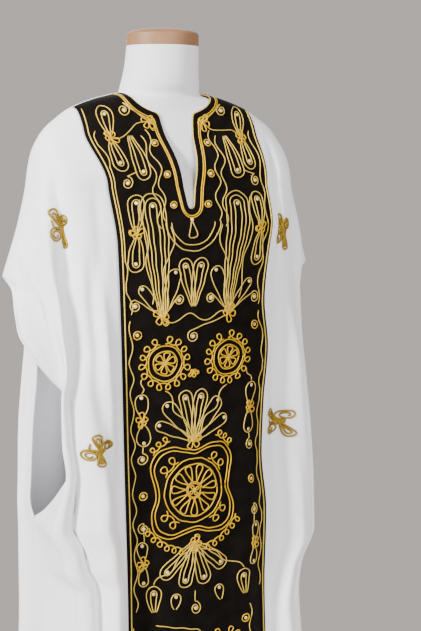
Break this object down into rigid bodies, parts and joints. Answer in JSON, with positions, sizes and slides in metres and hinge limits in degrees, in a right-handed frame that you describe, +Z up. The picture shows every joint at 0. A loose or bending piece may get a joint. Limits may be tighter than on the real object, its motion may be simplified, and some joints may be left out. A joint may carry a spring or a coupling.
{
  "type": "thobe on dress form",
  "caption": "Long loose thobe with wide open sleeves and a slit neck with an embroidered velvet front panel, on a limbless dress form with a pole and round base.",
  "frame": {"origin": "middle of the stand's flat underside, on the floor", "axes": "+Z up the pole, the garment's front faces -Y, the wearer's left is +X"},
  "size_m": [0.5873, 0.39, 1.5713],
  "materials": {
    "white_cloth": "soft matt woven cloth with a faint sheen",
    "black_velvet": "short-pile velvet",
    "gold_cord": "metallic twisted cord",
    "jersey": "fine white jersey",
    "neck_cap": "matt tan cap",
    "stand_metal": "satin metal"
  },
  "bodies": {
    "root": {"front_panel": "black_velvet", "front_right": "white_cloth", "front_left": "white_cloth", "back_centre": "white_cloth", "back_right": "white_cloth", "back_left": "white_cloth", "neck_binding": "black_velvet", "border_cord_right": "gold_cord", "border_cord_left": "gold_cord", "form_torso": "jersey", "form_neck_cap": "neck_cap", "stand_pole": "stand_metal", "stand_base": "stand_metal"}
  },
  "joints": []
}
